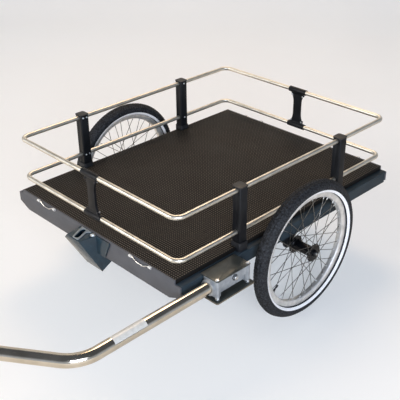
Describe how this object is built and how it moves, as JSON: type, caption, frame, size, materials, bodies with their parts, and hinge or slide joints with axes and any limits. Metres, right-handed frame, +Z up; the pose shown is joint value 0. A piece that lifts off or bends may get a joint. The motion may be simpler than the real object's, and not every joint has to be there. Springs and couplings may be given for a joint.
{
  "type": "cargo bike trailer",
  "caption": "Flat-deck bicycle cargo trailer with two spoked wheels, a two-rail railing on posts and a side drawbar with a swivelling coupling.",
  "frame": {"origin": "middle of the deck's top face", "axes": "+Z up, -Y forwards to the bicycle, +X to the side that carries the drawbar"},
  "size_m": [1.0486, 1.9263, 0.5643],
  "materials": {
    "deck": "dark film-faced board with a raised mesh pattern, sealed edges",
    "profile": "dark blue-grey powder coat, satin",
    "panel": "mid grey powder coat, satin",
    "underframe": "dark grey powder coat, matt",
    "post": "near-black powder coat, satin",
    "black_plastic": "black moulded plastic, fine grain",
    "polished_tube": "bright polished",
    "drawbar_steel": "polished steel tube",
    "bright_wire": "bright plated wire",
    "bracket": "cast, blue-grey powder coat",
    "collar": "pale grey moulded insert",
    "casting": "light grey-blue cast finish",
    "plate": "dark grey flat plate",
    "zinc": "zinc-plated steel",
    "tyre": "black rubber with a fine tread and a pale reflective line",
    "rim": "silver anodised rim, stainless spokes",
    "hub": "black anodised"
  },
  "bodies": {
    "frame": {"deck_board": "deck", "side_profile_left": "profile", "side_profile_right": "profile", "front_panel": "panel", "rear_panel": "panel", "cross_bearer_front": "underframe", "cross_bearer_middle": "underframe", "cross_bearer_rear": "underframe", "axle_beam": "underframe", "axle_hanger_left": "underframe", "axle_hanger_right": "underframe", "post_front_left": "post", "post_front_right": "post", "post_rear_left": "post", "post_rear_right": "post", "post_socket_front_left": "black_plastic", "post_socket_front_right": "black_plastic", "post_socket_rear_left": "black_plastic", "post_socket_rear_right": "black_plastic", "post_cap_front_left": "black_plastic", "post_cap_front_right": "black_plastic", "post_cap_rear_left": "black_plastic", "post_cap_rear_right": "black_plastic", "lower_rail": "polished_tube", "upper_rail": "polished_tube", "rail_clip_front_outer": "black_plastic", "rail_clip_front_inner": "black_plastic", "rail_clip_rear_outer": "black_plastic", "rail_clip_rear_inner": "black_plastic", "front_bracket": "bracket", "bracket_collar": "collar", "bracket_bolt": "zinc", "drawbar_clamp": "casting", "clamp_top_plate": "plate", "clamp_bottom_plate": "plate", "clamp_bolt_front": "zinc", "clamp_bolt_rear": "zinc", "clamp_nut_front": "zinc", "clamp_nut_rear": "zinc", "wheel_axle_left": "hub", "wheel_axle_right": "hub"},
    "wheel_left": {"tyre_left": "tyre", "spoked_rim_left": "rim", "hub_left": "hub"},
    "wheel_right": {"tyre_right": "tyre", "spoked_rim_right": "rim", "hub_right": "hub"},
    "button_left": {"axle_button_left": "black_plastic"},
    "button_right": {"axle_button_right": "black_plastic"},
    "drawbar": {"drawbar_tube": "drawbar_steel", "coupling_neck": "zinc"},
    "locking_pin": {"lock_pin": "zinc"},
    "coupling_swivel": {"swivel_head": "casting"},
    "coupling_jaw": {"coupling_fork": "casting"},
    "hitch_pin": {"coupling_pin": "zinc"},
    "bail_front_left": {"lashing_bail_front_left": "bright_wire"},
    "bail_front_right": {"lashing_bail_front_right": "bright_wire"},
    "bail_rear_left": {"lashing_bail_rear_left": "bright_wire"},
    "bail_rear_right": {"lashing_bail_rear_right": "bright_wire"}
  },
  "joints": [
    {"name": "wheel_spin_left", "type": "hinge", "parent": "frame", "child": "wheel_left", "pos_m": [0.475, 0, -0.1], "axis": [1, 0, 0], "continuous": true},
    {"name": "wheel_spin_right", "type": "hinge", "parent": "frame", "child": "wheel_right", "pos_m": [-0.475, 0, -0.1], "axis": [1, 0, 0], "continuous": true},
    {"name": "axle_button_left_press", "type": "slide", "parent": "frame", "child": "button_left", "axis": [-1, 0, 0], "range_m": [0, 0.003], "stiffness_N_per_m": 1500, "springref_m": -0.002},
    {"name": "axle_button_right_press", "type": "slide", "parent": "frame", "child": "button_right", "axis": [1, 0, 0], "range_m": [0, 0.003], "stiffness_N_per_m": 1500, "springref_m": -0.002},
    {"name": "drawbar_pull", "type": "slide", "parent": "frame", "child": "drawbar", "axis": [0, -1, 0], "range_m": [0, 0.12]},
    {"name": "lock_pin_pull", "type": "slide", "parent": "frame", "child": "locking_pin", "axis": [1, 0, 0], "range_m": [0, 0.006], "stiffness_N_per_m": 1500, "springref_m": -0.003},
    {"name": "coupling_roll", "type": "hinge", "parent": "drawbar", "child": "coupling_swivel", "pos_m": [0.096, -1.2989, -0.043], "axis": [0, 1, 0], "range_deg": [-60, 60]},
    {"name": "coupling_pitch", "type": "hinge", "parent": "coupling_swivel", "child": "coupling_jaw", "pos_m": [0.096, -1.3344, -0.043], "axis": [1, 0, 0], "range_deg": [-40, 40]},
    {"name": "coupling_pin_pull", "type": "slide", "parent": "coupling_jaw", "child": "hitch_pin", "axis": [0, 0, 1], "range_m": [0, 0.035]},
    {"name": "bail_front_left_swing", "type": "hinge", "parent": "frame", "child": "bail_front_left", "pos_m": [0.252, -0.5387, -0.002], "axis": [-1, 0, 0], "range_deg": [0, 170]},
    {"name": "bail_front_right_swing", "type": "hinge", "parent": "frame", "child": "bail_front_right", "pos_m": [-0.252, -0.5387, -0.002], "axis": [-1, 0, 0], "range_deg": [0, 170]},
    {"name": "bail_rear_left_swing", "type": "hinge", "parent": "frame", "child": "bail_rear_left", "pos_m": [0.252, 0.5387, -0.002], "axis": [1, 0, 0], "range_deg": [0, 170]},
    {"name": "bail_rear_right_swing", "type": "hinge", "parent": "frame", "child": "bail_rear_right", "pos_m": [-0.252, 0.5387, -0.002], "axis": [1, 0, 0], "range_deg": [0, 170]}
  ]
}
